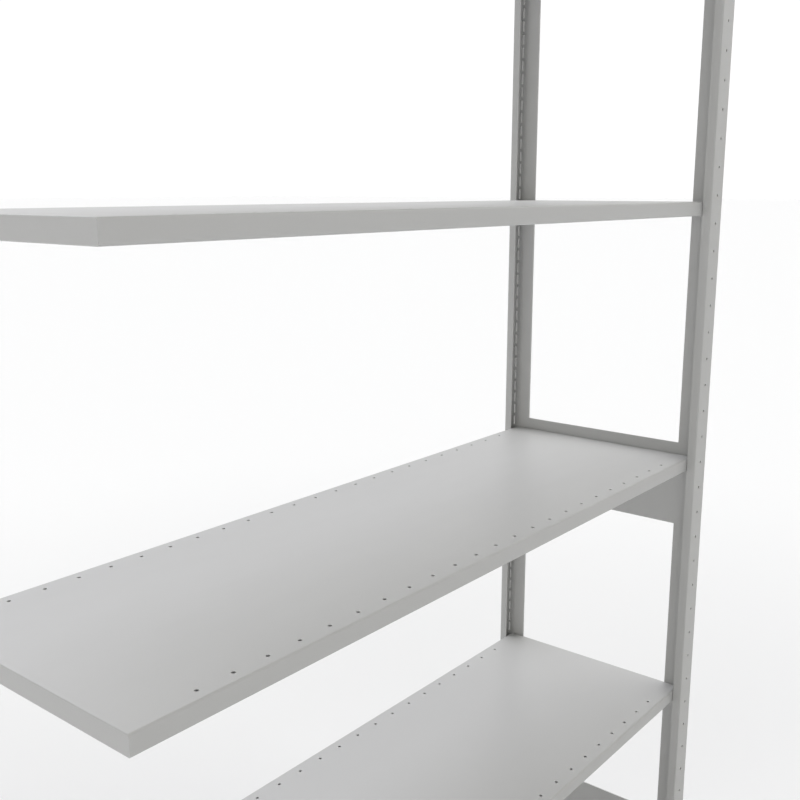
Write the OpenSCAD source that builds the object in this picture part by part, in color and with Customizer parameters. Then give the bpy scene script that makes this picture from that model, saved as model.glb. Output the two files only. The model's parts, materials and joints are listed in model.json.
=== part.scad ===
// Boltless shelving bay: five folded shelf trays hung on one welded ladder end frame.
// It is an add-on bay, so the left ends of the trays hang on the neighbouring bay's frame.
// Millimetres. X runs along the shelves, -Y is the front and Z is up.
// The origin is on the floor, in the web plane of the neighbouring frame, midway front to rear.

/* [Bay] */
// Distance between the web planes of two neighbouring frames
bay_pitch = 1285; // [985:50:1385]
// Height of the uprights, without their caps
frame_height = 2000; // [2000:50:2500]
// Front to rear size of a shelf
shelf_depth = 392; // [292:10:592]

/* [Shelves] */
// Height of the lowest shelf's top face
first_shelf_top = 78; // [78:25:103]
// Height of each shelf above the lowest one, in slot pitches
shelf_steps = [0, 17, 36, 55, 74]; // [0:1:74]
// Height of a shelf's folded edge
edge_height = 25; // [25:1:35]
// Thickness of the shelf sheet
shelf_sheet = 1; // [0.8:0.1:1]
// Outer radius of the bends along the shelf's front and rear
shelf_bend = 3; // [2:0.5:4]
// Outer radius of the bends at the shelf's ends
end_bend = 1.2; // [1.2:0.2:3]
// Width of the return under the front and rear edges
return_width = 35; // [26:1:40]
// Height of the hem at the end of those returns
hem_height = 17; // [10:1:18]
// Width of the return under each end
end_return = 15; // [12:1:20]
// Gap from the shelf's end to the web plane it hangs beside
end_gap = 2.5; // [2:0.5:4]

/* [Stiffener] */
// Height of the hat section under the deck
hat_height = 20; // [12:1:22]
// Width of the hat section's crown
hat_crown = 50; // [40:5:80]
// Width of each welded foot of the hat section
hat_foot = 15; // [10:1:20]

/* [Perforation] */
// Diameter of the divider holes in the decks and of the holes in the uprights
hole_d = 5; // [4:0.5:7]
// Distance between neighbouring round holes
hole_pitch = 49.5; // [49:0.5:100]
// Distance of a hole row from the shelf's front or rear edge
row_inset = 18; // [15:1:25]
// Least distance of a hole row from the shelf's ends
row_margin = 80; // [60:5:100]

/* [Uprights] */
// Width of the upright's flange
flange_width = 50; // [45:1:60]
// Depth of the upright's lips, flange included
lip_depth = 15.5; // [14:0.5:18]
// Depth of the whole T section
upright_depth = 45; // [42:1:55]
// Thickness of the channel sheet
channel_sheet = 2; // [1.5:0.5:2]
// Outer radius of the channel's bends
channel_bend = 3; // [2.5:0.5:4]
// Thickness of each of the web's two layers
web_layer = 1.5; // [1.25:0.25:1.5]
// Width of each web foot inside the channel
web_foot = 9; // [7:1:12]
// Gap between the lips and the shelf edges
lip_gap = 1; // [0.5:0.5:2]

/* [Slots] */
// Distance between neighbouring web slots
slot_pitch = 25; // [24:0.5:25]
// Length of a slot
slot_length = 20; // [18:1:21]
// Width of a slot
slot_width = 4; // [3.5:0.5:4]
// Distance of the slots from the flange's outer face
slot_inset = 9; // [9:0.5:10]

/* [Braces] */
// Height of a brace plate
brace_height = 162; // [120:1:170]
// Thickness of a brace plate
brace_sheet = 2; // [1.5:0.5:2.5]
// Heights of the braces' top edges
brace_tops = [208, 1000, 2000]; // [208:1:2000]
// Leg of the weld beads
weld_leg = 3; // [2:0.5:4]

/* [Base plates] */
// Size of a base plate along the shelves
base_length = 80; // [75:5:120]
// Size of a base plate from front to rear
base_width = 60; // [55:5:70]
// Thickness of a base plate
base_sheet = 4; // [3:1:5]
// Height of the tab that is bolted to the web
tab_height = 30; // [28:1:32]
// Diameter of the floor anchor holes
anchor_d = 9; // [7:1:11]
// Distance between a base plate's anchor holes
anchor_spacing = 50; // [46:2:56]

/* [Clips] */
// Thickness of the clip sheet
clip_sheet = 2; // [1.5:0.5:2]
// Length of the ledge under the shelf
ledge_length = 18; // [14:1:19]
// Reach of the ledge behind the shelf's edge
ledge_reach = 20; // [14:1:24]
// Height of a hook's stem
stem_height = 6; // [5:1:8]

/* [Hidden] */
$fn = 48;
eps = 0.01;

shelf_length = bay_pitch - 2 * end_gap;
lip_edge = shelf_depth / 2 + lip_gap;         // lips' inner edges, from the middle plane
frame_half = lip_edge + lip_depth;            // flanges' outer faces, from the middle plane
web_sheet = 2 * web_layer;
web_left = bay_pitch - web_layer;             // the web's face towards this bay
web_right = bay_pitch + web_layer;
web_edge = frame_half - upright_depth;        // the web's free edge, from the middle plane
web_bend = 2 * web_layer;                     // outer radius of the bend into each web foot
lattice = first_shelf_top % slot_pitch;       // height of the lowest bridge between two slots
flange_hole_rise = 25.5;                       // lowest flange hole above that bridge
first_slot = lattice + 1.5 * slot_pitch;
slot_count = floor((frame_height - slot_length - first_slot) / slot_pitch) + 1;
first_flange_hole = lattice + flange_hole_rise;
flange_hole_count = floor((frame_height - first_flange_hole - hole_d) / hole_pitch) + 1;
row_holes = floor((shelf_length - 2 * row_margin) / hole_pitch) + 1;
row_start = (bay_pitch - (row_holes - 1) * hole_pitch) / 2;
deck_tops = [for (step = shelf_steps) first_shelf_top + step * slot_pitch];

slot_line = frame_half - slot_inset;          // slots' centre line, from the middle plane
hook_width = slot_width - 1.2;
hook_gap = 0.4;                               // play between a hook and the back of the web
hook_sheet = 2;
hook_drop = 6;                                // reach of a hook below its slot
hook_play = 0.02;
// height at which a hook touches the round end of its slot, below the end's centre
hook_rest = sqrt(pow(slot_width / 2, 2) - pow(hook_width / 2, 2)) - hook_play;
clip_back = slot_line + 2;                    // clip's edge inside the upright's pocket
clip_front = lip_edge + 0.5;                  // clip's edge beside the shelf's front face
clip_top_gap = 3;                             // clip's top below the deck
clip_bend = 0.5;                              // inner radius of the clip's bend
clip_drop = 8;                                // reach of the clip's side below the shelf

bolt_d = 6;
bolt_hole_d = 6.6;
bolt_height = 20;
bolt_insets = [13.5, 27.5];                   // base bolts behind the slot line
bolt_lines = [for (inset = bolt_insets) slot_line - inset];
base_corner = 6;
anchor_shift = 7.5;                           // anchor holes behind the base plate's middle
tab_overrun = 6;                              // base plate's tab behind the web's free edge
head_across = 10;
head_height = 4;
nut_height = 5;
washer_d = 12;
washer_sheet = 1.6;
bolt_end = 2;                                 // thread that stands out of the nut

cap_sheet = 3;
cap_leg = 9;
cap_leg_depth = 15;
cap_strip = 10;
cap_clear = 0.2;

light_grey = [0.76, 0.76, 0.75];
shelf_grey = [0.80, 0.80, 0.79];
zinc = [0.72, 0.73, 0.75];
cap_grey = [0.45, 0.46, 0.47];

// ---- helpers ----

// Puts its children at the front and, mirrored, at the rear
module front_and_rear() {
  children();
  mirror([0, 1, 0]) children();
}

// Rectangle with round corners, from the origin
module round_rect(w, h, r) {
  translate([r, 0]) square([w - 2 * r, h]);
  translate([0, r]) square([w, h - 2 * r]);
  for (x = [r, w - r], y = [r, h - r]) translate([x, y]) circle(r);
}

// Solid block of the shelf's outline shrunk by t on every side, and its bends with it
module shelf_block(t) {
  width = shelf_depth - 2 * t;
  height = edge_height - 2 * t;
  length = shelf_length - 2 * t;
  translate([t, t, t])
    intersection() {
      rotate([90, 0, 90]) linear_extrude(length) round_rect(width, height, shelf_bend - t);
      translate([0, width, 0])
        rotate([90, 0, 0]) linear_extrude(width) round_rect(length, height, end_bend - t);
    }
}

// Quarter ring of a bend, outer radius r and sheet s, in the first quadrant
module bend_ring(r, s) {
  intersection() {
    difference() {
      circle(r);
      circle(r - s);
    }
    square(r + 1);
  }
}

// Slot outline, standing along Y
module slot_outline() {
  straight = slot_length - slot_width;
  translate([-slot_width / 2, -straight / 2]) square([slot_width, straight]);
  for (y = [-straight / 2, straight / 2]) translate([0, y]) circle(d = slot_width);
}

// ---- end frame ----

// C-shaped front half of an upright, flange outwards
module channel() {
  color(light_grey)
    difference() {
      translate([bay_pitch - flange_width / 2, -frame_half, base_sheet])
        linear_extrude(frame_height - base_sheet)
          difference() {
            round_rect(flange_width, 2 * lip_depth, channel_bend);
            translate([channel_sheet, channel_sheet])
              round_rect(flange_width - 2 * channel_sheet, 2 * lip_depth, channel_bend - channel_sheet);
            translate([-1, lip_depth]) square([flange_width + 2, 2 * lip_depth]);
          }
      for (i = [0 : flange_hole_count - 1])
        translate([bay_pitch, -frame_half - 1, first_flange_hole + i * hole_pitch])
          rotate([-90, 0, 0]) cylinder(d = hole_d, h = channel_sheet + 2);
    }
}

// One layer of the web with its foot, drawn from the web's middle plane towards +X
module web_half_outline() {
  inner = channel_sheet;
  translate([0, inner + web_bend]) square([web_layer, upright_depth - inner - web_bend]);
  translate([web_bend, inner + web_bend]) rotate(180) bend_ring(web_bend, web_layer);
  translate([web_bend, inner]) square([web_foot - web_bend, web_layer]);
}

// Two-layer slotted web of an upright
module web() {
  color(light_grey)
    difference() {
      translate([bay_pitch, -frame_half, base_sheet])
        linear_extrude(frame_height - base_sheet) {
          web_half_outline();
          mirror([1, 0]) web_half_outline();
        }
      for (i = [0 : slot_count - 1])
        translate([web_left - 1, -slot_line, first_slot + i * slot_pitch])
          rotate([90, 0, 90]) linear_extrude(web_sheet + 2) slot_outline();
      for (line = bolt_lines)
        translate([web_left - 1, -line, bolt_height])
          rotate([0, 90, 0]) cylinder(d = bolt_hole_d, h = web_sheet + 2);
    }
}

// Flat plate between the webs, flush with their face towards this bay
module brace(top) {
  color(light_grey)
    translate([web_left, -web_edge, top - brace_height])
      cube([brace_sheet, 2 * web_edge, brace_height]);
}

// Weld beads between the brace plates and the webs, on the side away from this bay
module brace_welds() {
  color(light_grey)
    for (top = brace_tops)
      front_and_rear()
        translate([web_left + brace_sheet, -web_edge, top - brace_height + weld_leg])
          linear_extrude(brace_height - 2 * weld_leg)
            intersection() {
              circle(weld_leg);
              square(weld_leg + 1);
            }
}

// Foot plate with floor anchor holes and a tab bolted to the web
module base_plate() {
  tab_start = lip_edge - web_layer;
  anchor_line = base_width / 2 + anchor_shift - frame_half;
  color(light_grey)
    difference() {
      union() {
        translate([bay_pitch - base_length / 2, -frame_half, 0])
          linear_extrude(base_sheet) round_rect(base_length, base_width, base_corner);
        translate([web_right, -tab_start, eps])
          cube([base_sheet, tab_start - web_edge + tab_overrun, base_sheet + tab_height - eps]);
      }
      for (side = [-1, 1])
        translate([bay_pitch + side * anchor_spacing / 2, anchor_line, -1])
          cylinder(d = anchor_d, h = base_sheet + 2);
      for (line = bolt_lines)
        translate([web_right - 1, -line, bolt_height])
          rotate([0, 90, 0]) cylinder(d = bolt_hole_d, h = base_sheet + 2);
    }
}

// Runs its children along each base plate bolt, from the web's far face outwards
module at_base_bolts(x) {
  front_and_rear()
    for (line = bolt_lines)
      translate([x, -line, bolt_height]) rotate([0, 90, 0]) children();
}

// Hexagon prism
module hexagon(across, height) {
  cylinder(d = across / cos(30), h = height, $fn = 6);
}

module base_bolts() {
  head = web_right + base_sheet + washer_sheet;
  tail = web_left - nut_height - bolt_end;
  color(zinc) {
    at_base_bolts(head) hexagon(head_across, head_height);
    at_base_bolts(tail) cylinder(d = bolt_d - 0.1, h = head - tail + eps);
  }
}

module base_washers() {
  color(zinc)
    at_base_bolts(web_right + base_sheet)
      difference() {
        cylinder(d = washer_d, h = washer_sheet);
        translate([0, 0, -1]) cylinder(d = bolt_d + 0.4, h = washer_sheet + 2);
      }
}

module base_nuts() {
  color(zinc)
    at_base_bolts(web_left - nut_height)
      difference() {
        hexagon(head_across, nut_height);
        translate([0, 0, -1]) cylinder(d = bolt_d, h = nut_height + 2);
      }
}

// Plastic cap over the T section, with two plugs inside the channel
module top_cap() {
  plug_x = flange_width / 2 - channel_sheet - cap_clear - cap_leg;
  plug_y = frame_half - channel_sheet - web_layer - cap_clear;
  color(cap_grey) {
    translate([bay_pitch - flange_width / 2, -frame_half, frame_height])
      linear_extrude(cap_sheet) round_rect(flange_width, lip_depth + lip_gap, channel_bend);
    translate([bay_pitch - cap_strip / 2, -lip_edge - eps, frame_height])
      cube([cap_strip, lip_edge - web_edge + eps, cap_sheet]);
    for (side = [0, 1])
      translate([bay_pitch, 0, 0])
        mirror([side, 0, 0])
          translate([plug_x, -plug_y, frame_height - cap_leg_depth])
            cube([cap_leg, cap_leg, cap_leg_depth + eps]);
  }
}

// ---- shelf clips ----

// Hook that passes a slot and rests on its lower end
module hook(slot_centre) {
  seat = slot_centre - (slot_length - slot_width) / 2 - hook_rest;
  back = web_right + hook_gap;
  translate([web_left - clip_sheet, -slot_line - hook_width / 2, seat])
    cube([back + hook_sheet - web_left + clip_sheet, hook_width, stem_height]);
  translate([back, -slot_line - hook_width / 2, seat - hook_drop])
    cube([hook_sheet, hook_width, hook_drop + stem_height]);
}

// Clip in the front upright's pocket, its ledge under the shelf's corner
module clip(deck_top) {
  bottom = deck_top - edge_height;
  foot = deck_top - 2 * slot_pitch + 1;
  ledge_end = shelf_depth / 2 - ledge_reach;
  bend = clip_sheet + clip_bend;
  face = web_left - clip_sheet;
  translate([face, -clip_back, foot])
    cube([clip_sheet, clip_back - clip_front, deck_top - clip_top_gap - foot]);
  translate([face, -clip_front - eps, bottom - clip_drop])
    cube([clip_sheet, clip_front + eps - ledge_end, clip_drop - bend]);
  translate([face + clip_sheet - bend, -ledge_end, bottom - bend])
    rotate([90, 0, 0]) linear_extrude(clip_front - ledge_end) bend_ring(bend, clip_sheet);
  translate([web_left - ledge_length, -clip_front, bottom - clip_sheet])
    cube([ledge_length - bend, clip_front - ledge_end, clip_sheet]);
  hook(deck_top - 0.5 * slot_pitch);
  hook(deck_top - 1.5 * slot_pitch);
}

// The two clips that carry one shelf's right end
module shelf_clips(n) {
  color(light_grey) front_and_rear() clip(deck_tops[n - 1]);
}

// ---- shelves ----

// Folded tray with its divider holes
module shelf_tray(n) {
  between_ends = shelf_length - 2 * end_return;
  color(shelf_grey)
    translate([end_gap, -shelf_depth / 2, deck_tops[n - 1] - edge_height])
      difference() {
        union() {
          difference() {
            shelf_block(0);
            shelf_block(shelf_sheet);
            translate([end_return, return_width, -shelf_sheet / 2])
              cube([between_ends, shelf_depth - 2 * return_width, 2 * shelf_sheet]);
          }
          for (y = [return_width - shelf_sheet, shelf_depth - return_width])
            translate([end_return, y, 0]) cube([between_ends, shelf_sheet, hem_height]);
        }
        for (i = [0 : row_holes - 1], y = [row_inset, shelf_depth - row_inset])
          translate([row_start - end_gap + i * hole_pitch, y, edge_height - 2 * shelf_sheet])
            cylinder(d = hole_d, h = 3 * shelf_sheet);
      }
}

// Hat section welded lengthwise under the deck
module shelf_stiffener(n) {
  under_deck = deck_tops[n - 1] - shelf_sheet;
  play = 4;
  s = shelf_sheet;
  color(shelf_grey)
    translate([end_gap + play, -hat_crown / 2, under_deck - hat_height])
      rotate([90, 0, 90])
        linear_extrude(shelf_length - 2 * play) {
          difference() {
            round_rect(hat_crown, 2 * hat_height, shelf_bend);
            translate([s, s]) round_rect(hat_crown - 2 * s, 2 * hat_height, shelf_bend - s);
            translate([-1, hat_height]) square([hat_crown + 2, 2 * hat_height]);
          }
          for (y = [-hat_foot, hat_crown])
            translate([y, hat_height - s]) square([hat_foot, s]);
        }
}

channel();  // front_upright_channel
web();  // front_upright_web
mirror([0, 1, 0]) channel();  // rear_upright_channel
mirror([0, 1, 0]) web();  // rear_upright_web
brace(brace_tops[0]);  // bottom_brace
brace(brace_tops[1]);  // middle_brace
brace(brace_tops[2]);  // top_brace
brace_welds();
base_plate();  // front_base_plate
mirror([0, 1, 0]) base_plate();  // rear_base_plate
base_bolts();
base_washers();
base_nuts();
top_cap();  // front_top_cap
mirror([0, 1, 0]) top_cap();  // rear_top_cap
shelf_clips(1);  // shelf_1_clips
shelf_clips(2);  // shelf_2_clips
shelf_clips(3);  // shelf_3_clips
shelf_clips(4);  // shelf_4_clips
shelf_clips(5);  // shelf_5_clips
shelf_tray(1);  // shelf_1_tray
shelf_tray(2);  // shelf_2_tray
shelf_tray(3);  // shelf_3_tray
shelf_tray(4);  // shelf_4_tray
shelf_tray(5);  // shelf_5_tray
shelf_stiffener(1);  // shelf_1_stiffener
shelf_stiffener(2);  // shelf_2_stiffener
shelf_stiffener(3);  // shelf_3_stiffener
shelf_stiffener(4);  // shelf_4_stiffener
shelf_stiffener(5);  // shelf_5_stiffener
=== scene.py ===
"""Finishes, small hardware and studio for a boltless steel shelving bay.

The bay's folded trays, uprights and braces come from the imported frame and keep
their shape. This script gives each of them its finish. It replaces the small
hardware whose real surface is finer than its solid, which is the weld beads,
base bolts, nuts, washers, clips and caps, and it adds the stiffeners' spot
welds. Lengths are in metres.
"""

import json
import logging
import math
from dataclasses import dataclass, field
from enum import Enum, IntEnum

import bmesh
import bpy
import numpy as np
from mathutils import Euler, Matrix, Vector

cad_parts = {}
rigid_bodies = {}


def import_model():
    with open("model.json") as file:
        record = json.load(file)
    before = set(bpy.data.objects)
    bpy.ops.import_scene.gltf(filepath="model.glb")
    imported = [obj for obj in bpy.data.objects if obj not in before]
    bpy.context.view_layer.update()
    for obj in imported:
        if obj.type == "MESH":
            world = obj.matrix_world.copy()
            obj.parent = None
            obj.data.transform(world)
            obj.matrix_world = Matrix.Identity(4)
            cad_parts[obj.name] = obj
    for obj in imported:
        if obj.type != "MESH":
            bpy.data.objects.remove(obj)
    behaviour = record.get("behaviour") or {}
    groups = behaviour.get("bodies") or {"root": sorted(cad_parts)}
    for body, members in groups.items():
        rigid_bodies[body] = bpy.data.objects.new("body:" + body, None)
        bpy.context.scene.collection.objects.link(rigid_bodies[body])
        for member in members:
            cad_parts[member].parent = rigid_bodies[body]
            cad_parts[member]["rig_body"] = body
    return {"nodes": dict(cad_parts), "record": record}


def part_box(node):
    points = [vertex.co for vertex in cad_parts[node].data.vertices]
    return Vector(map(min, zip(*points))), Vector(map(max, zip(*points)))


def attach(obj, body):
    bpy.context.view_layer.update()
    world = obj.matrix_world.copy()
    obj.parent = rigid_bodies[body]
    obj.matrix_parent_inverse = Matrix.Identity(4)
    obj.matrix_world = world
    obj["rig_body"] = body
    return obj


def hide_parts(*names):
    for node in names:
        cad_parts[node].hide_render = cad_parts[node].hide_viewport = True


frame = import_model()

LOG = logging.getLogger("shelving_bay")
MM = 0.001
FRAME_BODY = "end_frame"
SHELVES = (1, 2, 3, 4, 5)

Colour = tuple[float, float, float, float]
Tint = tuple[float, float, float]
Scale = tuple[float, float, float]

NEUTRAL: Tint = (1.0, 1.0, 1.0)
WARM: Tint = (1.0, 0.995, 0.93)
COOL: Tint = (0.995, 1.0, 1.035)

# Sockets of a Mix node in colour mode.
MIX_FACTOR, MIX_BELOW, MIX_ABOVE, MIX_RESULT = 0, 6, 7, 2

# Width over which a mask in a finish fades out.
MASK_FADE = 0.1 * MM

# Distances under which points of a mesh are one point, and an edge has no length.
SHELL_MERGE = 1e-7
PACKED_MERGE = 1e-6
NO_LENGTH = 1e-8


class Axis(IntEnum):
    """Number of a coordinate."""

    X = 0
    Y = 1
    Z = 2


class Slot(Enum):
    """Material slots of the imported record."""

    FRAME_PAINT = "frame_paint"
    SHELF_PAINT = "shelf_paint"
    CLIP_PAINT = "clip_paint"
    FASTENER_ZINC = "fastener_zinc"
    CAP_PLASTIC = "cap_plastic"


# ---- shader expressions ----


class Value:
    """A shader socket that takes part in Python arithmetic."""

    def __init__(self, shader: "Nodes", socket: bpy.types.NodeSocket) -> None:
        """Wraps one output socket of a node tree."""
        self.shader = shader
        self.socket = socket

    def math(self, operation: str, *others: "Value | float") -> "Value":
        """Adds one Math node.

        Args:
            operation: Blender's name of the operation.
            others: The operands that follow this value.

        Returns:
            The node's result.
        """
        inputs = dict(enumerate((self, *others)))
        node = self.shader.node("ShaderNodeMath", {"operation": operation}, inputs)
        return Value(self.shader, node.outputs[0])

    def __add__(self, other: "Value | float") -> "Value":
        """Sum."""
        return self.math("ADD", other)

    def __radd__(self, other: float) -> "Value":
        """Sum with a number on the left."""
        return self.math("ADD", other)

    def __sub__(self, other: "Value | float") -> "Value":
        """Difference."""
        return self.math("SUBTRACT", other)

    def __rsub__(self, other: float) -> "Value":
        """Difference from a number on the left."""
        return (self * -1.0) + other

    def __mul__(self, other: "Value | float") -> "Value":
        """Product."""
        return self.math("MULTIPLY", other)

    def __rmul__(self, other: float) -> "Value":
        """Product with a number on the left."""
        return self.math("MULTIPLY", other)

    def __truediv__(self, other: "Value | float") -> "Value":
        """Quotient."""
        return self.math("DIVIDE", other)

    def __abs__(self) -> "Value":
        """Distance from zero."""
        return self.math("ABSOLUTE")

    def at_least(self, floor: float) -> "Value":
        """The larger of this value and a number."""
        return self.math("MAXIMUM", floor)

    def root(self) -> "Value":
        """Square root."""
        return self.math("SQRT")

    def falls(self, full: float, none: float) -> "Value":
        """Mask that is 1 where this value is at most full and 0 from none on.

        Args:
            full: Largest value with a mask of 1.
            none: Smallest value with a mask of 0.

        Returns:
            The smooth mask.
        """
        node = self.shader.node(
            "ShaderNodeMapRange",
            {"interpolation_type": "SMOOTHSTEP"},
            {"Value": self, "From Min": full, "From Max": none, "To Min": 1.0, "To Max": 0.0},
        )
        return Value(self.shader, node.outputs["Result"])


@dataclass(frozen=True)
class Row:
    """Evenly spaced places along one axis."""

    start: float
    pitch: float = 1.0
    count: int = 1

    def distance(self, value: Value) -> Value:
        """Distance from a coordinate to the nearest place of the row.

        The number of the nearest place is the coordinate's distance from the
        start in pitches, rounded, and kept between the first place and the last.

        Args:
            value: The coordinate.

        Returns:
            The distance.
        """
        number = ((value - self.start) / self.pitch).math("ROUND")
        number = number.at_least(0.0).math("MINIMUM", self.count - 1.0)
        return abs(value - self.start - number * self.pitch)

    def moved(self, by: float) -> "Row":
        """The same row at another start."""
        return Row(self.start + by, self.pitch, self.count)


def nearest(value: Value, rows: tuple[Row, ...]) -> Value:
    """Distance from a coordinate to the nearest place of several rows.

    Args:
        value: The coordinate.
        rows: The rows.

    Returns:
        The smallest of the rows' distances.
    """
    distances = [row.distance(value) for row in rows]
    result = distances[0]
    for other in distances[1:]:
        result = result.math("MINIMUM", other)
    return result


def deck_rows() -> tuple[Row, Row]:
    """Heights of the decks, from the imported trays.

    Returns:
        The lowest deck, and the evenly spaced ones above it.
    """
    lowest, second, third, *_ = (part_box(f"shelf_{shelf}_tray")[1][Axis.Z] for shelf in SHELVES)
    return Row(lowest), Row(second, third - second, len(SHELVES) - 1)


DECKS = deck_rows()


class Nodes:
    """A node tree, built through a single method."""

    def __init__(self, tree: bpy.types.NodeTree) -> None:
        """Starts from an emptied tree."""
        self.tree = tree
        self.tree.nodes.clear()

    def node(self, kind: str, settings: dict, inputs: dict) -> bpy.types.Node:
        """Adds a node.

        Args:
            kind: The node's Blender type.
            settings: Attributes that are set first.
            inputs: Socket names or numbers with their values or links.

        Returns:
            The node.
        """
        node = self.tree.nodes.new(kind)
        for name, value in settings.items():
            setattr(node, name, value)
        for key, value in inputs.items():
            socket = node.inputs[key]
            if isinstance(value, Value):
                self.tree.links.new(value.socket, socket)
            elif isinstance(value, bpy.types.NodeSocket):
                self.tree.links.new(value, socket)
            else:
                socket.default_value = value
        return node


class Shader(Nodes):
    """One material's node tree with its output and principled shader."""

    def __init__(self, name: str) -> None:
        """Starts a material.

        Args:
            name: The material's name.
        """
        self.material = bpy.data.materials.new(name)
        self.material.use_nodes = True
        super().__init__(self.material.node_tree)
        self.principled = self.node("ShaderNodeBsdfPrincipled", {}, {})
        self.node("ShaderNodeOutputMaterial", {}, {"Surface": self.principled.outputs[0]})
        self.coordinates = self.node("ShaderNodeTexCoord", {}, {}).outputs["Object"]

    def place(self) -> tuple[Value, Value, Value]:
        """The three object coordinates as values."""
        node = self.node("ShaderNodeSeparateXYZ", {}, {0: self.coordinates})
        return tuple(Value(self, socket) for socket in node.outputs)

    def stretched(self, scale: Scale) -> bpy.types.NodeSocket:
        """Object coordinates scaled along each axis."""
        inputs = {"Vector": self.coordinates, "Scale": scale}
        return self.node("ShaderNodeMapping", {}, inputs).outputs[0]

    def noise(self, size: float, detail: float = 2.0, scale: Scale = (1, 1, 1)) -> Value:
        """Noise around zero whose lumps have a real size.

        Args:
            size: Size of a lump.
            detail: Number of finer layers.
            scale: Scale of the coordinates along each axis; below 1 it draws lumps out.

        Returns:
            The noise, about -0.5 to 0.5.
        """
        node = self.node(
            "ShaderNodeTexNoise",
            {"noise_dimensions": "3D"},
            {"Vector": self.stretched(scale), "Scale": 1.0 / size, "Detail": detail, "Roughness": 0.5},
        )
        return Value(self, node.outputs["Fac"]) - 0.5

    def cells(self, size: float) -> Value:
        """Gives each cell of a crystal-like pattern a random value.

        Args:
            size: Size of a cell.

        Returns:
            The value, 0 to 1.
        """
        inputs = {"Vector": self.coordinates, "Scale": 1.0 / size}
        node = self.node("ShaderNodeTexVoronoi", {}, inputs)
        split = self.node("ShaderNodeSeparateColor", {}, {0: node.outputs["Color"]})
        return Value(self, split.outputs[0])

    def blend(
        self, mask: Value, below: bpy.types.NodeSocket, above: Colour
    ) -> bpy.types.NodeSocket:
        """Mixes two colours.

        Args:
            mask: 0 for the first colour and 1 for the second.
            below: The socket that gives the first colour.
            above: The second colour.

        Returns:
            The mixed colour's socket.
        """
        inputs = {MIX_FACTOR: mask, MIX_BELOW: below, MIX_ABOVE: above}
        node = self.node("ShaderNodeMix", {"data_type": "RGBA"}, inputs)
        return node.outputs[MIX_RESULT]

    def tone(self, colour: Colour, factor: Value) -> bpy.types.NodeSocket:
        """Makes a colour lighter or darker.

        Args:
            colour: The colour.
            factor: What it is multiplied by, around 1.

        Returns:
            The socket of the changed colour.
        """
        grey = self.node("ShaderNodeCombineXYZ", {}, {axis: factor for axis in Axis})
        inputs = {0: colour[:3], 1: grey.outputs[0]}
        return self.node("ShaderNodeVectorMath", {"operation": "MULTIPLY"}, inputs).outputs[0]

    def finish(
        self, colour: bpy.types.NodeSocket, roughness: Value, height: Value, **fixed: float
    ) -> bpy.types.Material:
        """Connects the surface and returns the material.

        Args:
            colour: The base colour.
            roughness: The roughness over the surface.
            height: Height of the surface's relief in metres.
            fixed: Principled sockets with one value all over, with _ for each space.

        Returns:
            The finished material.
        """
        relief = {"Height": height / MM, "Distance": MM, "Strength": 1.0}
        bump = self.node("ShaderNodeBump", {}, relief)
        for name, value in {"Base Color": colour, "Normal": bump.outputs[0]}.items():
            self.tree.links.new(value, self.principled.inputs[name])
        self.tree.links.new(roughness.socket, self.principled.inputs["Roughness"])
        for name, value in fixed.items():
            self.principled.inputs[name.replace("_", " ")].default_value = value
        return self.material


# ---- finishes ----


@dataclass(frozen=True)
class Punched:
    """Rows of punched holes or slots in sheets, alike at the front and at the rear.

    Attributes:
        along: The axis that the row runs along.
        row: The holes' middles along that axis.
        line: Distance of the row from the bay's middle plane, y = 0.
        radius: Radius of a hole, or of a slot's round ends.
        across: The axis across the sheets.
        sheets: Places along that axis near which a surface belongs to a sheet.
        sheet_half: How near, on either side.
        straight_half: Half the straight length of a slot, and 0 for a hole.
    """

    along: Axis
    row: Row
    line: float
    radius: float
    across: Axis
    sheets: tuple[Row, ...]
    sheet_half: float
    straight_half: float = 0.0

    def distance(self, place: tuple[Value, Value, Value]) -> Value:
        """Distance from the nearest hole's edge along the sheet.

        A slot is a hole stretched along the row, so the distance is that of the
        point from its straight middle line, less the radius.

        Args:
            place: The object coordinates.

        Returns:
            The distance.
        """
        along = (self.row.distance(place[self.along]) - self.straight_half).at_least(0.0)
        line = abs(place[Axis.Y]) - self.line
        return abs((along * along + line * line).root() - self.radius)

    def on_sheet(self, place: tuple[Value, Value, Value]) -> Value:
        """1 on the punched sheets and 0 on the surfaces behind them."""
        away = nearest(place[self.across], self.sheets)
        return away.falls(self.sheet_half, self.sheet_half + MASK_FADE)


@dataclass(frozen=True)
class FoldedEdges:
    """The hollows inside the trays' folded front and rear edges, which get painted light: a lighter
    colour where little light reaches.

    Attributes:
        middle: Middle of the hollows along X.
        half_length: Half their length.
        inner: Distance of their inner side from the bay's middle plane, y = 0.
        outer: Distance of their outer side from it.
        below_deck: Depth of their middle below the deck.
        half_height: Half their height.
    """

    middle: float = 642.5 * MM
    half_length: float = 638 * MM
    inner: float = 161.5 * MM
    outer: float = 192.8 * MM
    below_deck: float = 12.5 * MM
    half_height: float = 11.7 * MM

    def inside(self, place: tuple[Value, Value, Value]) -> Value:
        """Mask of the hollows: the product of one mask along each axis.

        Args:
            place: The object coordinates.

        Returns:
            1 inside a hollow and 0 elsewhere.
        """
        x, y, z = place
        level = nearest(z, tuple(row.moved(-self.below_deck) for row in DECKS))
        across = abs(abs(y) - (self.inner + self.outer) / 2)
        along = abs(x - self.middle)
        reach = (self.outer - self.inner) / 2
        spans = ((level, self.half_height), (across, reach), (along, self.half_length))
        masks = [distance.falls(half, half + MASK_FADE) for distance, half in spans]
        return masks[0] * masks[1] * masks[2]


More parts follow.
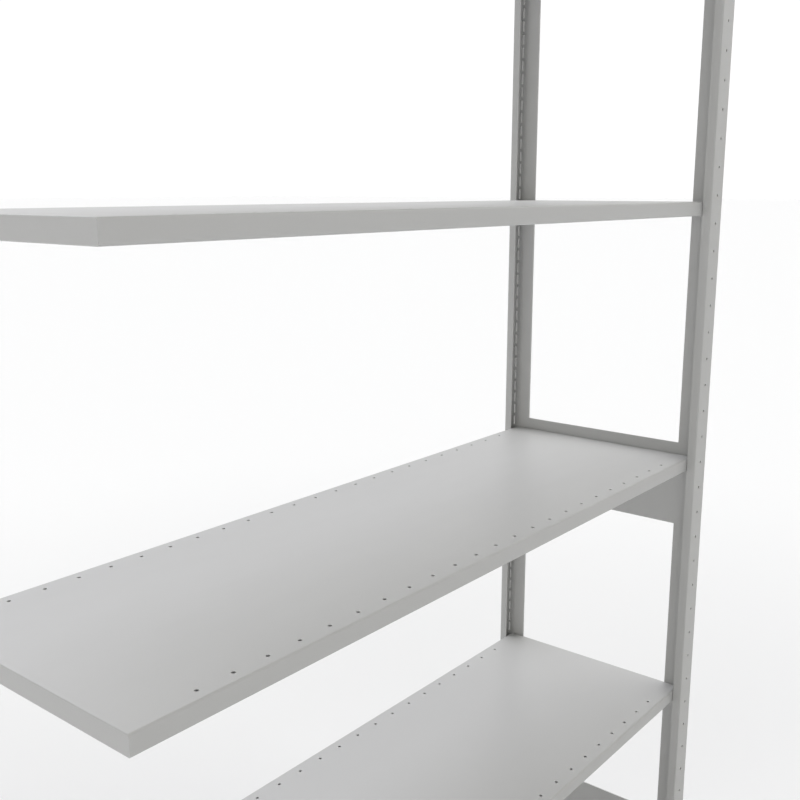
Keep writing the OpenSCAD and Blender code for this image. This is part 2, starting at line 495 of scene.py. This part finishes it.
@dataclass(frozen=True)
class PowderCoat:
    """Satin powder coat on steel sheet: orange peel, fine speckle and soft shade.

    Peel, grain, cloud and streak are noises, each from about -0.5 to 0.5. A size
    is that of a noise's lumps. A peel or grain changes the colour's factor by
    its tone or speckle, a cloud by its shade, and a dulling is how far a noise
    changes the roughness. The grain's height is a share of the peel's.

    Paint is thinner in a groove round a punched hole, and worn on its rim: the
    rim's tone is the worn paint's factor, and its wear is how much of it shows.
    The hollows of folded edges get a lighter colour, painted light where little light reaches.
    """

    name: str
    colour: Colour
    roughness: float = 0.42
    peel_size: float = 1.7 * MM
    peel_height: float = 0.006 * MM
    peel_tone: float = 0.02
    grain_size: float = 0.35 * MM
    grain_share: float = 0.12
    speckle: float = 0.05
    cloud_size: float = 260 * MM
    cloud_dulling: float = 0.1
    shade: float = 0.035
    streak_size: float = 34 * MM
    streak_drawn: Scale = (0.25, 1.0, 1.0)
    streak_dulling: float = 0.12
    holes: Punched | None = None
    rim_full: float = 0.1 * MM
    rim_width: float = 0.8 * MM
    rim_wear: float = 0.3
    rim_tone: float = 0.8
    groove_width: float = 0.7 * MM
    groove_depth: float = 0.03 * MM
    edges: FoldedEdges | None = None
    # Painted light: a lighter colour for the hollows of folded edges, where little light reaches.
    painted_light_in_hollows: Colour = (0.88, 0.88, 0.88, 1.0)

    def material(self) -> bpy.types.Material:
        """Builds the material.

        Returns:
            The powder coat, with thinner paint round punched holes and a lighter
            colour painted in the hollows of folded edges as painted light.
        """
        shader = Shader(self.name)
        peel = shader.noise(self.peel_size, 1.0)
        grain = shader.noise(self.grain_size, 1.0)
        cloud = shader.noise(self.cloud_size)
        streak = shader.noise(self.streak_size, scale=self.streak_drawn)
        factor = 1.0 + cloud * self.shade + grain * self.speckle + peel * self.peel_tone
        colour = shader.tone(self.colour, factor)
        roughness = streak * self.streak_dulling + cloud * self.cloud_dulling + self.roughness
        height = peel * self.peel_height + grain * (self.peel_height * self.grain_share)
        if self.holes is not None:
            place = shader.place()
            edge, sheet = self.holes.distance(place), self.holes.on_sheet(place)
            worn = tuple(self.rim_tone * part for part in self.colour[:3]) + (1.0,)
            rim = edge.falls(self.rim_full, self.rim_width) * sheet * self.rim_wear
            colour = shader.blend(rim, colour, worn)
            height = height - edge.falls(0.0, self.groove_width) * sheet * self.groove_depth
        # Painted light: the hollows of folded edges are coloured lighter than their shade would leave
        # them.
        if self.edges is not None:
            colour = shader.blend(self.edges.inside(shader.place()), colour, self.painted_light_in_hollows)
        return shader.finish(colour, roughness, height, IOR=1.5)


@dataclass(frozen=True)
class ZincPlate:
    """Bright zinc plating: a faint crystal pattern over fine rolling lines.

    A tone is how far a pattern changes the colour's factor, and a dulling how
    far it changes the roughness.
    """

    name: str
    colour: Colour = (0.56, 0.57, 0.59, 1.0)
    roughness: float = 0.3
    crystal_size: float = 0.9 * MM
    crystal_tone: float = 0.12
    crystal_dulling: float = 0.1
    crystal_height: float = 0.002 * MM
    line_size: float = 0.25 * MM
    line_drawn: Scale = (1.0, 1.0, 0.06)
    line_tone: float = 0.08
    line_height: float = 0.004 * MM
    cloud_size: float = 14 * MM
    cloud_layers: float = 3.0
    cloud_tone: float = 0.25
    cloud_dulling: float = 0.3

    def material(self) -> bpy.types.Material:
        """Builds the material.

        Returns:
            The zinc plating.
        """
        shader = Shader(self.name)
        crystals = shader.cells(self.crystal_size) - 0.5
        lines = shader.noise(self.line_size, scale=self.line_drawn)
        cloud = shader.noise(self.cloud_size, self.cloud_layers)
        factor = 1.0 + crystals * self.crystal_tone + cloud * self.cloud_tone
        factor = factor + lines * self.line_tone
        colour = shader.tone(self.colour, factor)
        roughness = crystals * self.crystal_dulling + cloud * self.cloud_dulling + self.roughness
        height = lines * self.line_height + crystals * self.crystal_height
        return shader.finish(colour, roughness, height, Metallic=1.0)


@dataclass(frozen=True)
class MouldedPlastic:
    """Matt moulded plastic with a spark-eroded grain.

    A tone is how far a noise changes the colour's factor, and a dulling how far
    it changes the roughness.
    """

    name: str
    colour: Colour = (0.2, 0.205, 0.21, 1.0)
    roughness: float = 0.55
    grain_size: float = 0.45 * MM
    grain_tone: float = 0.1
    grain_dulling: float = 0.08
    grain_height: float = 0.03 * MM
    cloud_size: float = 22 * MM
    cloud_tone: float = 0.12
    cloud_dulling: float = 0.1

    def material(self) -> bpy.types.Material:
        """Builds the material.

        Returns:
            The plastic.
        """
        shader = Shader(self.name)
        grain = shader.noise(self.grain_size)
        cloud = shader.noise(self.cloud_size)
        colour = shader.tone(self.colour, 1.0 + cloud * self.cloud_tone + grain * self.grain_tone)
        roughness = cloud * self.cloud_dulling + grain * self.grain_dulling + self.roughness
        return shader.finish(colour, roughness, grain * self.grain_height, IOR=1.46)


# ---- surfaces ----


def turned(distance: np.ndarray, radius: np.ndarray, angles: int) -> np.ndarray:
    """A surface around the X axis from a radius for each row and angle.

    Row i, angle j lies at x = distance[i], at radius[i, j] from the axis and at
    j equal steps round it.

    Args:
        distance: Place of each row along the axis.
        radius: Radius of each row, or of each row and angle.
        angles: Number of steps round the axis.

    Returns:
        Points as rows, angles, xyz.
    """
    turn = 2 * np.pi * np.arange(angles) / angles
    radius = radius[:, None] * np.ones(angles) if radius.ndim == 1 else radius
    along = distance[:, None] * np.ones(angles)
    return np.stack([along, radius * np.cos(turn), radius * np.sin(turn)], axis=-1)


def hexagon_radius(across: float, angles: int) -> np.ndarray:
    """Radius of a hexagon at equal angles.

    It is half the width across flats over the cosine of the angle from the
    middle of the nearest flat. A flat's middle lies at angle 0.

    Args:
        across: Width across flats.
        angles: Number of steps round the axis.

    Returns:
        Radius at each angle.
    """
    turn = 2 * np.pi * np.arange(angles) / angles
    from_flat = np.mod(turn + np.pi / 6, np.pi / 3) - np.pi / 6
    return across / 2 / np.cos(from_flat)


def mesh_piece(
    name: str, shells: list[np.ndarray], body: str, sharp: float
) -> bpy.types.Object:
    """Makes one object of closed shells.

    Each shell is a grid that closes on itself along its second direction. Along
    the first it closes too, or ends in rows shrunk to a point.

    Args:
        name: The piece's name.
        shells: Grids of points.
        body: The body that the piece rides on.
        sharp: Angle in degrees above which an edge stays sharp.

    Returns:
        The piece.
    """
    points, faces, start = [], [], 0
    for shell in shells:
        rows, columns = shell.shape[:2]
        row, column = np.meshgrid(np.arange(rows - 1), np.arange(columns), indexing="ij")
        after = (column + 1) % columns
        corners = [row * columns + column, row * columns + after]
        corners += [(row + 1) * columns + after, (row + 1) * columns + column]
        faces.append(start + np.stack(corners, axis=-1).reshape(-1, 4))
        points.append(shell.reshape(-1, 3))
        start += rows * columns
    mesh = bpy.data.meshes.new(name)
    mesh.from_pydata(np.concatenate(points).tolist(), [], np.concatenate(faces).tolist())
    work = bmesh.new()
    work.from_mesh(mesh)
    bmesh.ops.remove_doubles(work, verts=work.verts, dist=SHELL_MERGE)
    bmesh.ops.dissolve_degenerate(work, edges=work.edges, dist=NO_LENGTH)
    bmesh.ops.recalc_face_normals(work, faces=work.faces)
    work.to_mesh(mesh)
    work.free()
    return finished(name, mesh, body, sharp)


def finished(
    name: str, mesh: bpy.types.Mesh, body: str, sharp: float
) -> bpy.types.Object:
    """Puts a mesh into the scene as a smooth-shaded piece of a body.

    Args:
        name: The piece's name.
        mesh: Its mesh.
        body: The body that it rides on.
        sharp: Angle in degrees above which an edge stays sharp.

    Returns:
        The piece.
    """
    mesh.polygons.foreach_set("use_smooth", np.ones(len(mesh.polygons), dtype=bool))
    mesh.set_sharp_from_angle(angle=math.radians(sharp))
    piece = bpy.data.objects.new(name, mesh)
    bpy.context.scene.collection.objects.link(piece)
    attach(piece, body)
    LOG.info("piece %s on %s, %d faces", name, body, len(mesh.polygons))
    return piece


def softened(node: str, name: str, width: float) -> bpy.types.Object:
    """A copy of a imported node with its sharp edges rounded, which stands for it.

    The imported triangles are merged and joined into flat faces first, so that
    only real edges are rounded.

    Args:
        node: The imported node.
        name: The piece's name.
        width: Width of the rounded edges.

    Returns:
        The piece.
    """
    flat_angle, smooth_angle, bevel_angle = 0.5, 35.0, 40.0
    source = frame["nodes"][node]
    mesh = source.data.copy()
    mesh.name = name
    mesh.materials.clear()
    work = bmesh.new()
    work.from_mesh(mesh)
    bmesh.ops.remove_doubles(work, verts=work.verts, dist=PACKED_MERGE)
    flat = math.radians(flat_angle)
    bmesh.ops.dissolve_limit(work, angle_limit=flat, verts=work.verts, edges=work.edges)
    work.to_mesh(mesh)
    work.free()
    piece = finished(name, mesh, source["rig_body"], smooth_angle)
    bevel = piece.modifiers.new("soft_edges", "BEVEL")
    bevel.width = width
    bevel.segments = 2
    bevel.limit_method = "ANGLE"
    bevel.angle_limit = math.radians(bevel_angle)
    bevel.use_clamp_overlap = True
    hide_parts(node)
    return piece


# ---- the end frame ----


@dataclass
class WeldBeads:
    """Fillet welds between the brace plates and the webs."""

    leg: float = 3 * MM
    ripple: float = 2.6 * MM
    depth: float = 0.35 * MM
    samples: int = 4
    arc_points: int = 7
    sharp: float = 70.0

    def bead(self, low: np.ndarray, high: np.ndarray, inner: float) -> np.ndarray:
        """One bead along Z in the corner between a plate and a web.

        The section is a quarter disc. Its radius falls by depth between ripples,
        which bulge like overlapping coins, and closes at both ends as a circle's.

        Args:
            low: Lowest corner of the bead's box.
            high: Highest corner of the bead's box.
            inner: The side of Y, -1 or 1, that the web is on.

        Returns:
            Points as rows, angles, xyz.
        """
        length = high[2] - low[2]
        rows = int(length / self.ripple) * self.samples
        along = np.linspace(0.0, length, rows + 1)
        coin = np.abs(np.sin(np.pi * along / self.ripple))
        ends = np.minimum(along, length - along)
        close = np.sqrt(np.clip(1 - (1 - np.clip(ends / self.leg, 0, 1)) ** 2, 0, 1))
        radius = (self.leg - self.depth * (1 - coin)) * close
        turn = np.linspace(0.0, np.pi / 2, self.arc_points)
        arc = np.stack([np.cos(turn), np.sin(turn)], axis=-1)
        section = np.concatenate([arc, [[0.0, 0.5], [0.0, 0.0], [0.5, 0.0]]])
        x = low[0] + radius[:, None] * section[:, 0]
        corner = low[1] if inner < 0 else high[1]
        y = corner - inner * radius[:, None] * section[:, 1]
        z = low[2] + along[:, None] * np.ones(len(section))
        return np.stack([x, y, z], axis=-1)

    def build(self) -> bpy.types.Object:
        """Lays both beads of each brace.

        Returns:
            The beads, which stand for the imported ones.
        """
        plates = [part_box(f"{place}_brace") for place in ("bottom", "middle", "top")]
        shells = []
        for low, high in plates:
            start, end = low[2] + self.leg, high[2] - self.leg
            for side in (-1, 1):
                edge = low[1] if side < 0 else high[1]
                span = sorted((edge, edge - side * self.leg))
                corner_low = np.array([high[0], span[0], start])
                corner_high = np.array([high[0] + self.leg, span[1], end])
                shells.append(self.bead(corner_low, corner_high, side))
        piece = mesh_piece("weld_beads", shells, FRAME_BODY, self.sharp)
        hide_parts("brace_welds")
        return piece


@dataclass
class BaseFasteners:
    """Hexagon bolts, nuts and washers that hold the base plates to the webs.

    Attributes:
        across: Width of heads and nuts across flats.
        crown: Share of that width left flat at a chamfered end.
        head: Height of a head.
        nut: Height of a nut.
        bore: Bore of a nut.
        countersink: Depth and widening of a bore's mouth.
        washer: Thickness of a washer.
        washer_outer: Outer radius of a washer.
        washer_inner: Inner radius of a washer.
        washer_edge: Radius of a washer's rolled rim.
        thread: Outer diameter of the thread.
        pitch: Pitch of the thread.
        thread_gap: Play of the thread in radius.
        thread_depth: Depth of the thread.
        tip: Fall of the radius at the chamfered end of a shank.
        bolt_gap: Distance between a foot's two bolts.
        angles: Steps round a head, nut or washer.
        thread_angles: Steps round a thread.
        thread_rows: Rows along each pitch of a thread.
        sharp: Angle in degrees above which an edge stays sharp.
        places: Middle of each bolt, with 0 along its axis.
    """

    across: float = 10 * MM
    crown: float = 0.96
    head: float = 4 * MM
    nut: float = 5 * MM
    bore: float = 6 * MM
    countersink: float = 0.5 * MM
    washer: float = 1.6 * MM
    washer_outer: float = 6 * MM
    washer_inner: float = 3.2 * MM
    washer_edge: float = 0.3 * MM
    thread: float = 6 * MM
    pitch: float = 1 * MM
    thread_gap: float = 0.05 * MM
    thread_depth: float = 0.55 * MM
    tip: float = 0.8 * MM
    bolt_gap: float = 14 * MM
    angles: int = 48
    thread_angles: int = 32
    thread_rows: int = 6
    sharp: float = 28.0
    places: list[np.ndarray] = field(default_factory=list, init=False)

    def __post_init__(self) -> None:
        """Finds each bolt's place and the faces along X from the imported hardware."""
        low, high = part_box("base_bolts")
        washer_low, washer_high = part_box("base_washers")
        self.tail, self.nut_face = low[Axis.X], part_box("base_nuts")[0][Axis.X]
        self.seat, self.shoulder = washer_low[Axis.X], washer_high[Axis.X]
        height = (low[Axis.Z] + high[Axis.Z]) / 2
        outer = high[Axis.Y] - self.across / 2
        for side in (-1, 1):
            for line in (outer, outer - self.bolt_gap):
                self.places.append(np.array([0.0, side * line, height]))

    def chamfered(self, distance: np.ndarray, length: float, both: bool) -> np.ndarray:
        """Radius of a hexagon bar whose ends are chamfered at 30 degrees to the end face.

        Args:
            distance: Rows along the bar, from its seat.
            length: The bar's length.
            both: Whether the seat's end is cut too.

        Returns:
            Radius of each row and angle: the smaller of hexagon and cone.
        """
        crown = self.across / 2 * self.crown
        cone = crown + (length - distance) * math.sqrt(3.0)
        if both:
            cone = np.minimum(cone, crown + distance * math.sqrt(3.0))
        return np.minimum(hexagon_radius(self.across, self.angles), cone[:, None])

    def bolt(self) -> list[np.ndarray]:
        """One bolt with its axis on X: a chamfered head and a threaded shank.

        The thread's radius is a triangle wave of the distance along the axis
        less the turn round it, one pitch per turn. The shank runs a little way
        into the head, and the head's last rows close it on the axis.

        Returns:
            The two shells.
        """
        rows = np.array([0, 0, 0.5, 0.8, 0.86, 0.92, 0.96, 1, 1, 1]) * self.head
        head = self.chamfered(rows, self.head, False)
        head[0] = head[-1] = 0.0
        head[-2] *= 0.6
        into_head = 0.5 * MM
        length = self.shoulder - self.tail + into_head
        along = np.linspace(0.0, length, int(length / self.pitch * self.thread_rows))
        turn = np.arange(self.thread_angles) / self.thread_angles
        wave = np.abs(np.mod(along[:, None] / self.pitch - turn, 1.0) - 0.5) * 2
        radius = self.thread / 2 - self.thread_gap - self.thread_depth * (1 - wave)
        radius = np.minimum(radius, (self.thread / 2 - self.tip + along)[:, None])
        closed = radius[:1] * 0
        along = np.r_[0.0, along, length]
        radius = np.r_[closed, radius, closed]
        shank = turned(self.tail + along, radius, self.thread_angles)
        return [turned(self.shoulder + rows, head, self.angles), shank]

    def nut_shell(self) -> np.ndarray:
        """One nut with its axis on X, its bore's mouths countersunk.

        Returns:
            The shell, round the outside and back through the bore.
        """
        rows = np.array([0, 0.03, 0.08, 0.15, 0.5, 0.85, 0.92, 0.97, 1]) * self.nut
        outer = self.chamfered(rows, self.nut, True)
        inner_rows = np.array([1, 0.93, 0.07, 0]) * self.nut
        inner = self.bore / 2 + np.array([1, 0, 0, 1]) * self.countersink
        inner = inner[:, None] * np.ones(self.angles)
        radius = np.concatenate([outer, inner, outer[:1]])
        return turned(self.nut_face + np.r_[rows, inner_rows, rows[0]], radius, self.angles)

    def washer_shell(self) -> np.ndarray:
        """One punched washer with its axis on X, its outer rim rolled over.

        Returns:
            The shell.
        """
        outer, inner, edge = self.washer_outer, self.washer_inner, self.washer_edge
        turn = np.linspace(0, np.pi / 2, 4)
        top = self.washer - edge + edge * np.sin(turn)
        rim = outer - edge + edge * np.cos(turn)
        distance = np.r_[0.0, 0.0, top, self.washer, 0.0]
        radius = np.r_[inner, outer, rim, inner, inner]
        return turned(self.seat + distance, radius, self.angles)

    def build(self) -> list[bpy.types.Object]:
        """Puts one bolt, nut and washer at each place.

        Returns:
            The three pieces.
        """
        nut, washer = self.nut_shell(), self.washer_shell()
        kinds = {"bolts": self.bolt(), "nuts": [nut], "washers": [washer]}
        pieces = []
        for kind, shells in kinds.items():
            placed = [shell + place for place in self.places for shell in shells]
            piece = mesh_piece(f"zinc_{kind}", placed, FRAME_BODY, self.sharp)
            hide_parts(f"base_{kind}")
            pieces.append(piece)
        return pieces


@dataclass
class EndFrame:
    """The welded ladder frame with its feet, caps and clips."""

    cap_edge: float = 0.8 * MM
    clip_edge: float = 0.25 * MM
    welds: WeldBeads = field(default_factory=WeldBeads)

    def build(self) -> dict[Slot, list[bpy.types.Object]]:
        """Makes the frame's own pieces.

        Returns:
            The pieces by material slot.
        """
        caps = [
            softened(f"{end}_top_cap", f"{end}_cap", self.cap_edge)
            for end in ("front", "rear")
        ]
        clips = [
            softened(f"shelf_{n}_clips", f"clips_of_shelf_{n}", self.clip_edge)
            for n in SHELVES
        ]
        return {
            Slot.FRAME_PAINT: [self.welds.build()],
            Slot.FASTENER_ZINC: BaseFasteners().build(),
            Slot.CAP_PLASTIC: caps,
            Slot.CLIP_PAINT: clips,
        }


# ---- the shelves ----


@dataclass
class SpotWelds:
    """Spot welds that join a shelf's stiffener to its deck.

    Attributes:
        shelf: Number of the shelf.
        count: Welds in each of the two rows.
        radius: Radius of a mark.
        swell: Height of a mark's rim.
        end: Distance of the first and the last weld from the stiffener's ends.
        foot: Distance of a row from the stiffener's long edge.
        sheets: Thickness of the deck and the stiffener's foot together.
        angles: Steps round a mark.
        sharp: Angle in degrees above which an edge stays sharp.
    """

    shelf: int
    count: int = 17
    radius: float = 2.8 * MM
    swell: float = 0.18 * MM
    end: float = 45 * MM
    foot: float = 7.5 * MM
    sheets: float = 2 * MM
    angles: int = 12
    sharp: float = 60.0

    def build(self) -> bpy.types.Object:
        """Presses two rows of weld marks into the stiffener's feet.

        A mark is turned: a shallow crater whose rim swells from the foot's under
        side and falls back to it, closed inside the sheet.

        Returns:
            The marks of one shelf.
        """
        low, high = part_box(f"shelf_{self.shelf}_stiffener")
        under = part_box(f"shelf_{self.shelf}_tray")[1][Axis.Z] - self.sheets
        share = np.array([0.0, 0.35, 0.62, 0.82, 1.0, 1.0, 0.0])
        drop = np.array([-0.1, 0.1, 0.9, 1.0, 0.0, -1.5, -1.5]) * self.swell
        mark = turned(-drop, share * self.radius, self.angles)[..., [Axis.Y, Axis.Z, Axis.X]]
        places = np.linspace(low[0] + self.end, high[0] - self.end, self.count)
        lines = (low[1] + self.foot, high[1] - self.foot)
        shells = [mark + np.array([x, y, under]) for x in places for y in lines]
        body = f"shelf_{self.shelf}"
        return mesh_piece(f"{body}_spot_welds", shells, body, self.sharp)


# ---- the studio ----


@dataclass(frozen=True)
class SoftBox:
    """A wide distant lamp.

    Attributes:
        name: The lamp's name.
        azimuth: Side it stands on, in degrees round Z from the X axis.
        height: Height above the horizon in degrees.
        strength: Its strength.
        width: Its width in degrees.
        tint: Its colour.
    """

    name: str
    azimuth: float
    height: float
    strength: float
    width: float
    tint: Tint = NEUTRAL

    def light(self) -> None:
        """Hangs the lamp, turned about Y down from the zenith and about Z to its side."""
        data = bpy.data.lights.new(self.name, "SUN")
        data.energy = self.strength
        data.angle = math.radians(self.width)
        data.color = self.tint
        lamp = bpy.data.objects.new(self.name, data)
        from_zenith = math.radians(90.0 - self.height)
        lamp.rotation_euler = Euler((0.0, from_zenith, math.radians(self.azimuth)))
        bpy.context.scene.collection.objects.link(lamp)


@dataclass
class Studio:
    """Pale floor with a painted soft shadow, soft light and the camera.

    Attributes:
        eye: The camera's place.
        tilt: Its turn about X from looking straight down, in degrees.
        heading: Its turn about Z, in degrees.
        lens: Its focal length in millimetres.
        sensor: Its sensor's width in millimetres.
        floor_half: Half the floor's width.
        floor_colour: The floor's colour.
        floor_roughness: The floor's roughness.
        shade: How much darker the floor's colour is at the middle of its painted soft shadow.
        shade_middle: That middle, in X and Y.
        shade_core: Radius of the shade's even core.
        shade_reach: Radius where the shade ends.
        glow: Strength of the light that the backdrop gives.
        mirrored: Its further strength in reflections.
        soft_boxes: The lamps.
    """

    eye: tuple[float, float, float] = (-0.4953, -0.9263, 1.4758)
    tilt: float = 78.08
    heading: float = -50.89
    lens: float = 45.03
    sensor: float = 36.0
    floor_half: float = 150.0
    floor_colour: Colour = (0.985, 0.985, 0.993, 1.0)
    floor_roughness: float = 0.9
    shade: float = 0.13
    shade_middle: tuple[float, float] = (1.1, 0.3)
    shade_core: float = 0.2
    shade_reach: float = 3.6
    glow: float = 0.045
    mirrored: float = 0.5
    soft_boxes: tuple[SoftBox, ...] = (
        SoftBox("right_low", 0, 15, 0.51, 40),
        SoftBox("left_low", 180, 15, 0.54, 40, WARM),
        SoftBox("left_front_low", 225, 15, 0.35, 40, WARM),
        SoftBox("right", 0, 50, 0.27, 60),
        SoftBox("rear_right", 45, 45, 0.63, 60),
        SoftBox("rear", 90, 45, 1.75, 60, COOL),
        SoftBox("right_front", 315, 45, 1.06, 60, WARM),
    )

    def camera(self) -> None:
        """Sets the camera at eye height beside the free shelf ends."""
        data = bpy.data.cameras.new("camera")
        data.lens = self.lens
        data.sensor_width = self.sensor
        data.clip_end = 500.0
        camera = bpy.data.objects.new("camera", data)
        camera.location = self.eye
        camera.rotation_euler = Euler((math.radians(self.tilt), 0.0, math.radians(self.heading)))
        bpy.context.scene.collection.objects.link(camera)
        bpy.context.scene.camera = camera

    def floor(self) -> None:
        """Lays a matt floor that reaches the horizon, with a painted soft shadow round the bay's feet.
        """
        half = self.floor_half
        corners = [(-half, -half, 0), (half, -half, 0), (half, half, 0), (-half, half, 0)]
        mesh = bpy.data.meshes.new("floor")
        mesh.from_pydata(corners, [], [(0, 1, 2, 3)])
        floor = bpy.data.objects.new("floor", mesh)
        bpy.context.scene.collection.objects.link(floor)
        shader = Shader("floor_matt")
        x, y, _ = shader.place()
        middle_x, middle_y = self.shade_middle
        across, along = x - middle_x, y - middle_y
        away = (across * across + along * along).root()
        # Painted shadow: the floor's colour darkens towards the bay.
        painted_shadow = away.falls(self.shade_core, self.shade_reach) * self.shade
        shaded = shader.tone(self.floor_colour, 1.0 - painted_shadow)
        shader.tree.links.new(shaded, shader.principled.inputs["Base Color"])
        shader.principled.inputs["Roughness"].default_value = self.floor_roughness
        shader.principled.inputs["Specular IOR Level"].default_value = 0.0
        mesh.materials.append(shader.material)

    def backdrop(self) -> None:
        """Sets a backdrop: white to the camera, half as bright in reflections, almost no light."""
        world = bpy.data.worlds.new("studio")
        bpy.context.scene.world = world
        world.use_nodes = True
        nodes = Nodes(world.node_tree)
        path = nodes.node("ShaderNodeLightPath", {}, {})
        seen = Value(nodes, path.outputs["Is Camera Ray"])
        mirrored = Value(nodes, path.outputs["Is Glossy Ray"])
        strength = seen + mirrored * self.mirrored + self.glow
        inputs = {"Color": (*NEUTRAL, 1.0), "Strength": strength}
        background = nodes.node("ShaderNodeBackground", {}, inputs)
        nodes.node("ShaderNodeOutputWorld", {}, {"Surface": background.outputs[0]})

    def build(self) -> None:
        """Sets up camera, floor, light and an even tone curve."""
        self.camera()
        self.floor()
        self.backdrop()
        for box in self.soft_boxes:
            box.light()
        bpy.context.scene.view_settings.view_transform = "Standard"


def finishes() -> dict[Slot, bpy.types.Material]:
    """Mixes the finish of each material slot.

    Returns:
        The materials by slot.
    """
    deck_holes = Punched(
        along=Axis.X,
        row=Row(98 * MM, 49.5 * MM, 23),
        line=178 * MM,
        radius=2.5 * MM,
        across=Axis.Z,
        sheets=DECKS,
        sheet_half=0.8 * MM,
    )
    web_slots = Punched(
        along=Axis.Z,
        row=Row(40.5 * MM, 25 * MM, 78),
        line=203.5 * MM,
        radius=2 * MM,
        across=Axis.X,
        sheets=(Row(1285 * MM),),
        sheet_half=1.7 * MM,
        straight_half=8 * MM,
    )
    frame_grey, shelf_grey = (0.5, 0.5, 0.497, 1.0), (0.525, 0.525, 0.525, 1.0)
    clip_grey = (0.49, 0.49, 0.485, 1.0)
    coats = {
        Slot.FRAME_PAINT: PowderCoat("frame_powder_coat", frame_grey, holes=web_slots),
        # The shelves' coat paints light into the hollows of their folded edges.
        Slot.SHELF_PAINT: PowderCoat(
            "shelf_powder_coat", shelf_grey, holes=deck_holes, edges=FoldedEdges()
        ),
        Slot.CLIP_PAINT: PowderCoat("clip_powder_coat", clip_grey, roughness=0.48),
        Slot.FASTENER_ZINC: ZincPlate("fastener_zinc"),
        Slot.CAP_PLASTIC: MouldedPlastic("cap_plastic"),
    }
    return {slot: coat.material() for slot, coat in coats.items()}


def dress(obj: bpy.types.Object, material: bpy.types.Material) -> None:
    """Gives an object one material in place of its own."""
    obj.data.materials.clear()
    obj.data.materials.append(material)


def main() -> None:
    """Builds the pieces, gives every one its finish and sets up the studio."""
    logging.basicConfig(level=logging.INFO, format="%(name)s: %(message)s")
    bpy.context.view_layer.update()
    Studio().build()
    materials = finishes()
    for part in frame["record"]["subparts"]:
        dress(frame["nodes"][part["node"]], materials[Slot(part["material_slot"])])
        LOG.info("node %s in %s", part["node"], part["material_slot"])
    for slot, pieces in EndFrame().build().items():
        for piece in pieces:
            dress(piece, materials[slot])
    for shelf in SHELVES:
        dress(SpotWelds(shelf).build(), materials[Slot.SHELF_PAINT])


if __name__ == "__main__":
    main()
